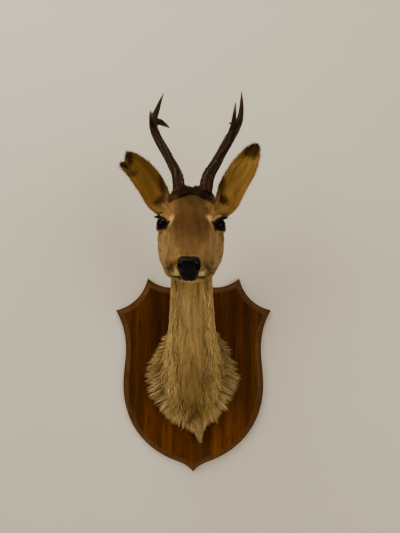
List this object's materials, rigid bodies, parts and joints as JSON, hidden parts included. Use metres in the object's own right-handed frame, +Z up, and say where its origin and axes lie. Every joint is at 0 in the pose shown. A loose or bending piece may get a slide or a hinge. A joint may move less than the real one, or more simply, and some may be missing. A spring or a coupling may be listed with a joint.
{
  "type": "roe deer shoulder mount",
  "caption": "Roe deer buck shoulder mount: antlered head and long neck on a moulded oak shield that hangs flat on a wall.",
  "frame": {"origin": "centre of the shield board's flat back, in the plane of the wall", "axes": "+Z up, +Y into the wall, so the animal faces -Y and its own left side is +X"},
  "size_m": [0.309, 0.3478, 0.6582],
  "materials": {
    "oak": "dark stained oak under satin varnish",
    "coat": "coarse straw and olive brown winter coat",
    "face": "short ochre and reddish brown face hair",
    "ear": "thin skin with ochre hair and dark edges",
    "nose": "black pebbled nose leather, varnished",
    "eye": "dark glass eye",
    "antler": "dark brown antler bone with grey ridges and pale tips",
    "brass": "brass plated strip"
  },
  "bodies": {
    "root": {"shield_board": "oak", "hanger": "brass", "hanger_nail_left": "brass", "hanger_nail_right": "brass", "shoulder": "coat", "neck_lower": "coat", "neck_upper": "coat", "head": "face", "lower_jaw": "face", "nose_pad": "nose", "ear_left": "ear", "ear_right": "ear", "eye_left": "eye", "eye_right": "eye", "antler_left_beam": "antler", "antler_left_top": "antler", "antler_left_front_tine": "antler", "antler_left_rear_tine": "antler", "antler_right_beam": "antler", "antler_right_top": "antler", "antler_right_front_tine": "antler", "antler_right_rear_tine": "antler"}
  },
  "joints": []
}
